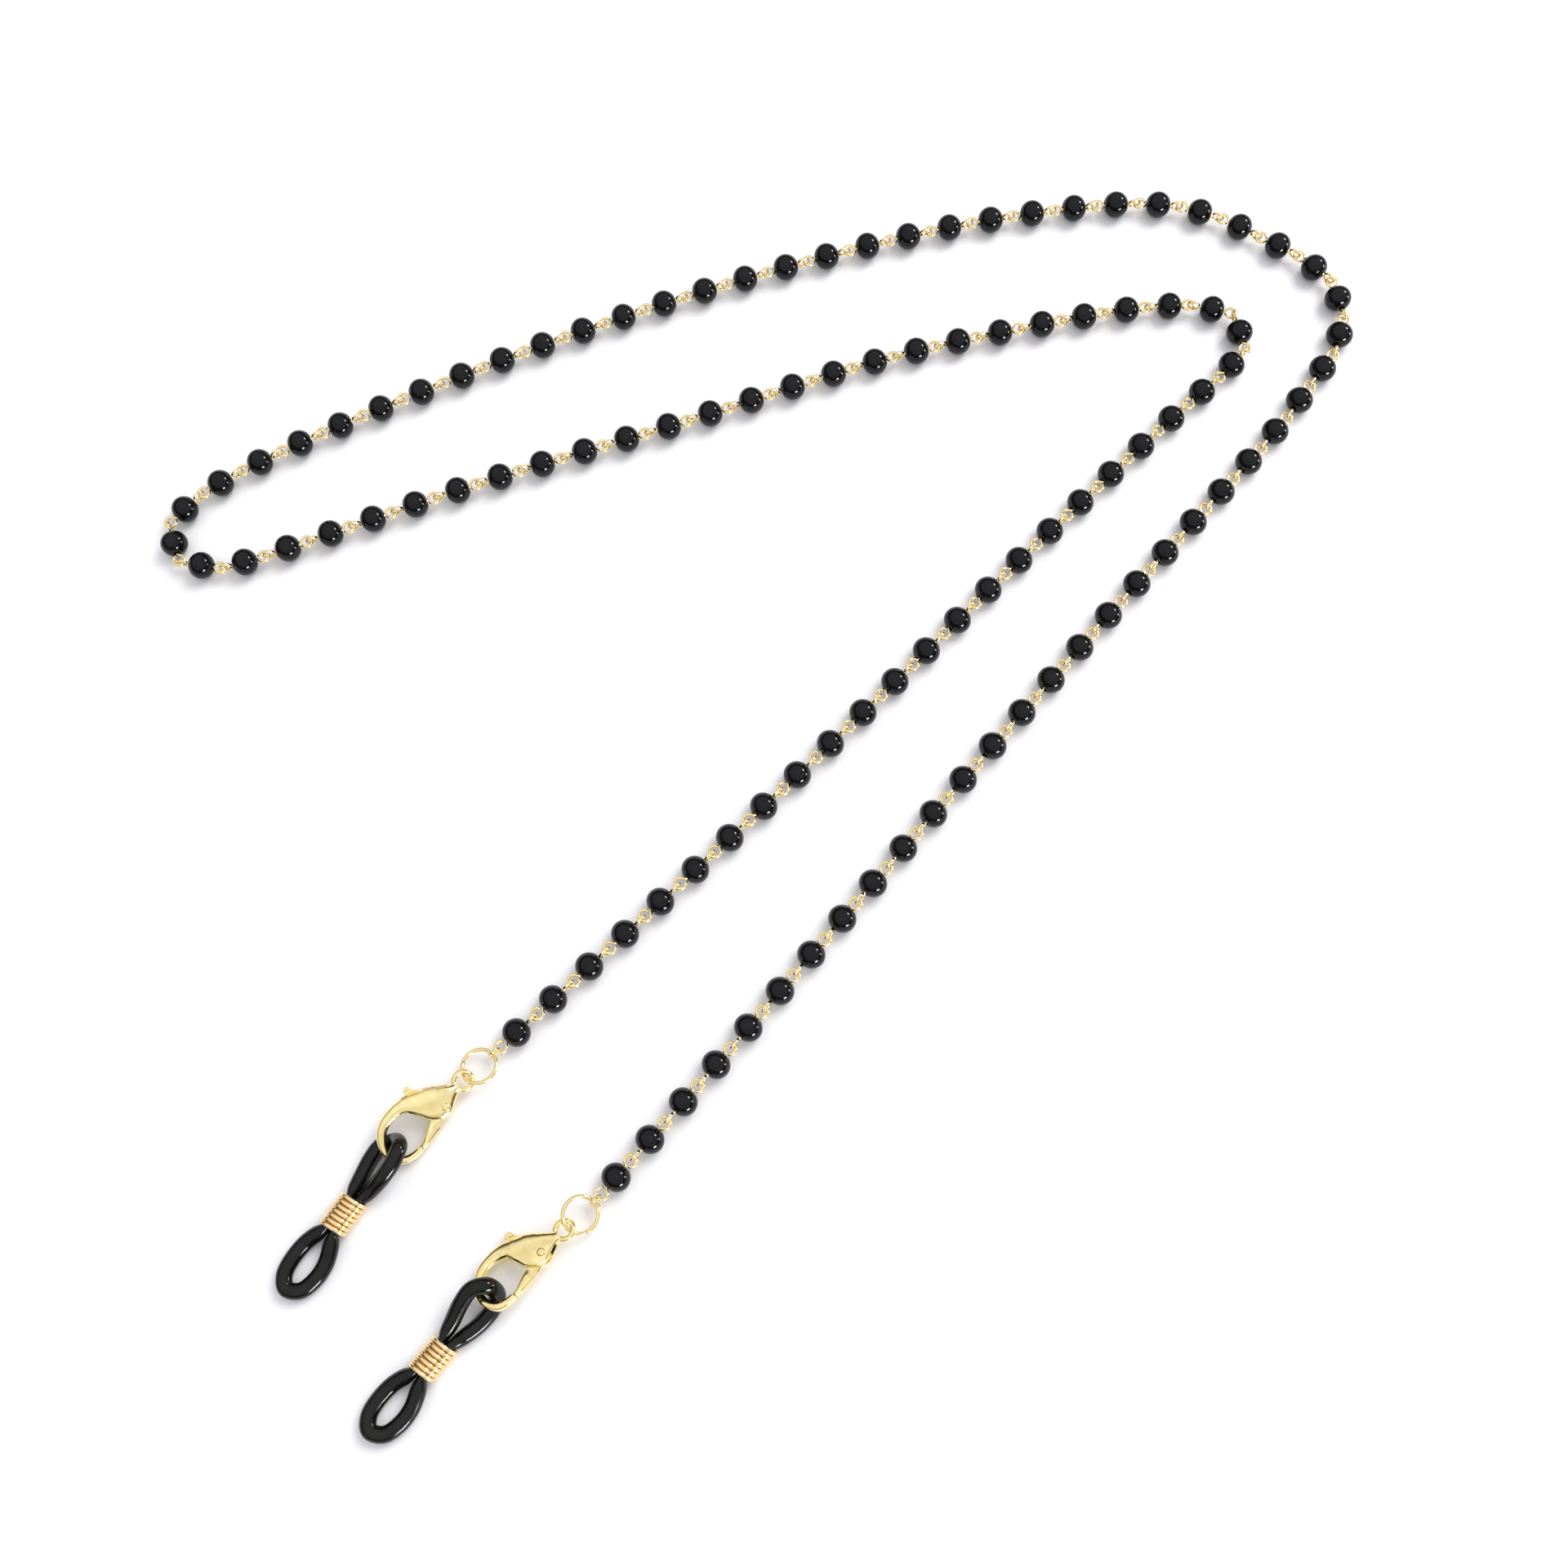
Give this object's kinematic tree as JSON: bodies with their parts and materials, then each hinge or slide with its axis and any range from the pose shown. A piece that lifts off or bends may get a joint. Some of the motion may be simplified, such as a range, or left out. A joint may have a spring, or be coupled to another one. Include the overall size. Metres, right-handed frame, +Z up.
{
  "type": "eyeglass retainer strap",
  "caption": "Beaded glasses strap: a chain of round glossy beads on wire eye pins, with a jump ring, a lobster clasp and a rubber temple loop pinched by a wire coil at each end.",
  "frame": {"origin": "bottom centre of the strap as it lies on a flat surface, midway across its outline in X and Y", "axes": "+Z up from the surface; +X along the longer side of the outline; the two temple loops lie towards -X and -Y, and the chain turns at +X, at -X and at +X again"},
  "size_m": [0.1788, 0.1751, 0.0054],
  "materials": {
    "black_bead": "opaque black glass, polished",
    "gold_wire": "bright gold plate on drawn wire",
    "gold_clasp": "polished gold plate on a cast body",
    "gold_coil": "gold-plated round wire, close wound",
    "black_rubber": "smooth glossy black rubber cord"
  },
  "bodies": {
    "left_end_bead": {"left_end_bead": "black_bead"},
    "left_end_pin": {"left_end_eye_pin": "gold_wire"},
    "left_small_ring": {"left_small_ring": "gold_wire"},
    "left_jump_ring": {"left_jump_ring": "gold_wire"},
    "left_clasp": {"left_clasp_body": "gold_clasp", "left_clasp_rivet": "gold_clasp", "left_clasp_spring": "gold_clasp"},
    "left_lever": {"left_clasp_lever": "gold_clasp"},
    "left_rubber_loop": {"left_rubber_loop": "black_rubber"},
    "left_coil": {"left_coil": "gold_coil"},
    "right_end_bead": {"right_end_bead": "black_bead"},
    "right_end_pin": {"right_end_eye_pin": "gold_wire"},
    "right_small_ring": {"right_small_ring": "gold_wire"},
    "right_jump_ring": {"right_jump_ring": "gold_wire"},
    "right_clasp": {"right_clasp_body": "gold_clasp", "right_clasp_rivet": "gold_clasp", "right_clasp_spring": "gold_clasp"},
    "right_lever": {"right_clasp_lever": "gold_clasp"},
    "right_rubber_loop": {"right_rubber_loop": "black_rubber"},
    "right_coil": {"right_coil": "gold_coil"},
    "bead_run_01": {"bead_run_01": "black_bead"},
    "bead_run_02": {"bead_run_02": "black_bead"},
    "bead_run_03": {"bead_run_03": "black_bead"},
    "bead_run_04": {"bead_run_04": "black_bead"},
    "bead_run_05": {"bead_run_05": "black_bead"},
    "bead_run_06": {"bead_run_06": "black_bead"},
    "bead_run_07": {"bead_run_07": "black_bead"},
    "bead_run_08": {"bead_run_08": "black_bead"},
    "bead_run_09": {"bead_run_09": "black_bead"},
    "bead_run_10": {"bead_run_10": "black_bead"},
    "bead_run_11": {"bead_run_11": "black_bead"},
    "bead_run_12": {"bead_run_12": "black_bead"},
    "bead_run_13": {"bead_run_13": "black_bead"},
    "bead_run_14": {"bead_run_14": "black_bead"},
    "bead_run_15": {"bead_run_15": "black_bead"},
    "bead_run_16": {"bead_run_16": "black_bead"},
    "bead_run_17": {"bead_run_17": "black_bead"},
    "bead_run_18": {"bead_run_18": "black_bead"},
    "bead_run_19": {"bead_run_19": "black_bead"},
    "bead_run_20": {"bead_run_20": "black_bead"},
    "bead_run_21": {"bead_run_21": "black_bead"},
    "bead_run_22": {"bead_run_22": "black_bead"},
    "bead_run_23": {"bead_run_23": "black_bead"},
    "bead_run_24": {"bead_run_24": "black_bead"},
    "bead_run_25": {"bead_run_25": "black_bead"}
  },
  "joints": [
    {"name": "left_end_bead_spin", "type": "hinge", "parent": "left_end_pin", "child": "left_end_bead", "pos_m": [-0.03799, -0.03692, 0.002], "axis": [0.7688, 0.6394, 0], "continuous": true},
    {"name": "left_end_pin_hinge", "type": "hinge", "parent": "bead_run_01", "child": "left_end_pin", "pos_m": [-0.03577, -0.03507, 0.002], "axis": [-0.6387, 0.7695, 0], "range_deg": [-90, 90]},
    {"name": "left_small_ring_hinge", "type": "hinge", "parent": "left_end_pin", "child": "left_small_ring", "pos_m": [-0.04078, -0.03924, 0.002], "axis": [0.6394, -0.7688, 0], "range_deg": [-90, 90]},
    {"name": "left_jump_ring_hinge", "type": "hinge", "parent": "left_small_ring", "child": "left_jump_ring", "pos_m": [-0.04125, -0.03963, 0.002], "axis": [-0.6334, 0.7295, -0.2583], "range_deg": [-75, 75]},
    {"name": "left_clasp_hinge", "type": "hinge", "parent": "left_jump_ring", "child": "left_clasp", "pos_m": [-0.04489, -0.04268, 0.0023], "axis": [0.6334, -0.7295, 0.2583], "range_deg": [-45, 45]},
    {"name": "left_lever_hinge", "type": "hinge", "parent": "left_clasp", "child": "left_lever", "pos_m": [-0.04763, -0.0461, 0.002], "axis": [-0.2882, 0.3091, -0.9063], "range_deg": [0, 24], "stiffness_Nm_per_rad": 0.004, "springref_deg": -28.65, "deforming": ["left_clasp_spring"]},
    {"name": "left_rubber_loop_hinge", "type": "hinge", "parent": "left_clasp", "child": "left_rubber_loop", "pos_m": [-0.05523, -0.05188, 0.00245], "axis": [-0.6181, 0.6628, 0.4226], "range_deg": [-35, 35], "deforming": ["left_rubber_loop"]},
    {"name": "left_coil_slide", "type": "slide", "parent": "left_rubber_loop", "child": "left_coil", "axis": [-0.6353, -0.7722, 0], "range_m": [0, 0.0015], "deforming": ["left_rubber_loop"]},
    {"name": "right_end_bead_spin", "type": "hinge", "parent": "right_end_pin", "child": "right_end_bead", "pos_m": [-0.02532, -0.05683, 0.002], "axis": [-0.708, -0.7062, 0], "continuous": true},
    {"name": "right_end_pin_hinge", "type": "hinge", "parent": "bead_run_25", "child": "right_end_pin", "pos_m": [-0.02275, -0.05427, 0.002], "axis": [-0.7062, 0.708, 0], "range_deg": [-90, 90]},
    {"name": "right_small_ring_hinge", "type": "hinge", "parent": "right_end_pin", "child": "right_small_ring", "pos_m": [-0.02789, -0.05939, 0.002], "axis": [0.7062, -0.708, 0], "range_deg": [-90, 90]},
    {"name": "right_jump_ring_hinge", "type": "hinge", "parent": "right_small_ring", "child": "right_jump_ring", "pos_m": [-0.02832, -0.05982, 0.002], "axis": [-0.5578, 0.7436, 0.3686], "range_deg": [-75, 75]},
    {"name": "right_clasp_hinge", "type": "hinge", "parent": "right_jump_ring", "child": "right_clasp", "pos_m": [-0.03186, -0.0629, 0.00285], "axis": [0.5578, -0.7436, -0.3686], "range_deg": [-45, 45]},
    {"name": "right_lever_hinge", "type": "hinge", "parent": "right_clasp", "child": "right_lever", "pos_m": [-0.03487, -0.06609, 0.00307], "axis": [0.1902, -0.2435, -0.9511], "range_deg": [0, 24], "stiffness_Nm_per_rad": 0.004, "springref_deg": -28.65, "deforming": ["right_clasp_spring"]},
    {"name": "right_rubber_loop_hinge", "type": "hinge", "parent": "right_clasp", "child": "right_rubber_loop", "pos_m": [-0.04297, -0.07115, 0.00274], "axis": [-0.5855, 0.7494, -0.309], "range_deg": [-35, 35], "deforming": ["right_rubber_loop"]},
    {"name": "right_coil_slide", "type": "slide", "parent": "right_rubber_loop", "child": "right_coil", "axis": [-0.7002, -0.7139, 0], "range_m": [0, 0.0015], "deforming": ["right_rubber_loop"]},
    {"name": "run_hinge_13", "type": "hinge", "parent": "bead_run_12", "child": "bead_run_13", "pos_m": [-0.07784, 0.04933, 0.002], "axis": [0.4268, -0.9043, 0], "range_deg": [-90, 90]},
    {"name": "run_hinge_14", "type": "hinge", "parent": "bead_run_13", "child": "bead_run_14", "pos_m": [-0.05387, 0.05958, 0.002], "axis": [-0.3537, 0.9353, 0], "range_deg": [-90, 90]},
    {"name": "run_hinge_15", "type": "hinge", "parent": "bead_run_14", "child": "bead_run_15", "pos_m": [-0.02933, 0.06839, 0.002], "axis": [-0.3028, 0.9531, 0], "range_deg": [-90, 90]},
    {"name": "run_hinge_16", "type": "hinge", "parent": "bead_run_15", "child": "bead_run_16", "pos_m": [-0.00432, 0.07577, 0.002], "axis": [0.2445, -0.9696, 0], "range_deg": [-90, 90]},
    {"name": "run_hinge_17", "type": "hinge", "parent": "bead_run_16", "child": "bead_run_17", "pos_m": [0.0211, 0.08161, 0.002], "axis": [0.1792, -0.9838, 0], "range_deg": [-90, 90]},
    {"name": "run_hinge_18", "type": "hinge", "parent": "bead_run_17", "child": "bead_run_18", "pos_m": [0.05343, 0.08546, 0.002], "axis": [0.0051, 1, 0], "range_deg": [-90, 90]},
    {"name": "run_hinge_19", "type": "hinge", "parent": "bead_run_18", "child": "bead_run_19", "pos_m": [0.07782, 0.07835, 0.002], "axis": [0.5708, 0.8211, 0], "range_deg": [-90, 90]},
    {"name": "run_hinge_20", "type": "hinge", "parent": "bead_run_19", "child": "bead_run_20", "pos_m": [0.08247, 0.05254, 0.002], "axis": [-0.7696, 0.6385, 0], "range_deg": [-90, 90]},
    {"name": "run_hinge_21", "type": "hinge", "parent": "bead_run_20", "child": "bead_run_21", "pos_m": [0.0645, 0.03367, 0.002], "axis": [-0.6951, 0.7189, 0], "range_deg": [-90, 90]},
    {"name": "run_hinge_22", "type": "hinge", "parent": "bead_run_21", "child": "bead_run_22", "pos_m": [0.04587, 0.01542, 0.002], "axis": [0.7063, -0.7079, 0], "range_deg": [-90, 90]},
    {"name": "run_hinge_23", "type": "hinge", "parent": "bead_run_22", "child": "bead_run_23", "pos_m": [0.02746, -0.00306, 0.002], "axis": [0.7134, -0.7008, 0], "range_deg": [-90, 90]},
    {"name": "run_hinge_24", "type": "hinge", "parent": "bead_run_23", "child": "bead_run_24", "pos_m": [0.00923, -0.02171, 0.002], "axis": [-0.7161, 0.6979, 0], "range_deg": [-90, 90]},
    {"name": "run_hinge_25", "type": "hinge", "parent": "bead_run_24", "child": "bead_run_25", "pos_m": [-0.00894, -0.04041, 0.002], "axis": [-0.7118, 0.7024, 0], "range_deg": [-90, 90]},
    {"name": "run_hinge_11", "type": "hinge", "parent": "bead_run_12", "child": "bead_run_11", "pos_m": [-0.07289, 0.03567, 0.002], "axis": [0.2445, -0.9697, 0], "range_deg": [-90, 90]},
    {"name": "run_hinge_10", "type": "hinge", "parent": "bead_run_11", "child": "bead_run_10", "pos_m": [-0.04168, 0.04509, 0.002], "axis": [-0.2758, 0.9612, 0], "range_deg": [-90, 90]},
    {"name": "run_hinge_09", "type": "hinge", "parent": "bead_run_10", "child": "bead_run_09", "pos_m": [-0.01642, 0.05159, 0.002], "axis": [-0.2458, 0.9693, 0], "range_deg": [-90, 90]},
    {"name": "run_hinge_08", "type": "hinge", "parent": "bead_run_09", "child": "bead_run_08", "pos_m": [0.00871, 0.05856, 0.002], "axis": [0.2729, -0.962, 0], "range_deg": [-90, 90]},
    {"name": "run_hinge_07", "type": "hinge", "parent": "bead_run_08", "child": "bead_run_07", "pos_m": [0.0342, 0.064, 0.002], "axis": [0.1673, -0.9859, 0], "range_deg": [-90, 90]},
    {"name": "run_hinge_06", "type": "hinge", "parent": "bead_run_07", "child": "bead_run_06", "pos_m": [0.06008, 0.06715, 0.002], "axis": [-0.0731, 0.9973, 0], "range_deg": [-90, 90]},
    {"name": "run_hinge_05", "type": "hinge", "parent": "bead_run_06", "child": "bead_run_05", "pos_m": [0.06309, 0.04994, 0.002], "axis": [0.6132, -0.7899, 0], "range_deg": [-90, 90]},
    {"name": "run_hinge_04", "type": "hinge", "parent": "bead_run_05", "child": "bead_run_04", "pos_m": [0.04318, 0.0331, 0.002], "axis": [-0.6511, 0.759, 0], "range_deg": [-90, 90]},
    {"name": "run_hinge_03", "type": "hinge", "parent": "bead_run_04", "child": "bead_run_03", "pos_m": [0.02364, 0.01583, 0.002], "axis": [-0.6702, 0.7422, 0], "range_deg": [-90, 90]},
    {"name": "run_hinge_02", "type": "hinge", "parent": "bead_run_03", "child": "bead_run_02", "pos_m": [0.00413, -0.00148, 0.002], "axis": [0.6557, -0.755, 0], "range_deg": [-90, 90]},
    {"name": "run_hinge_01", "type": "hinge", "parent": "bead_run_02", "child": "bead_run_01", "pos_m": [-0.01573, -0.01838, 0.002], "axis": [0.6452, -0.764, 0], "range_deg": [-90, 90]}
  ]
}
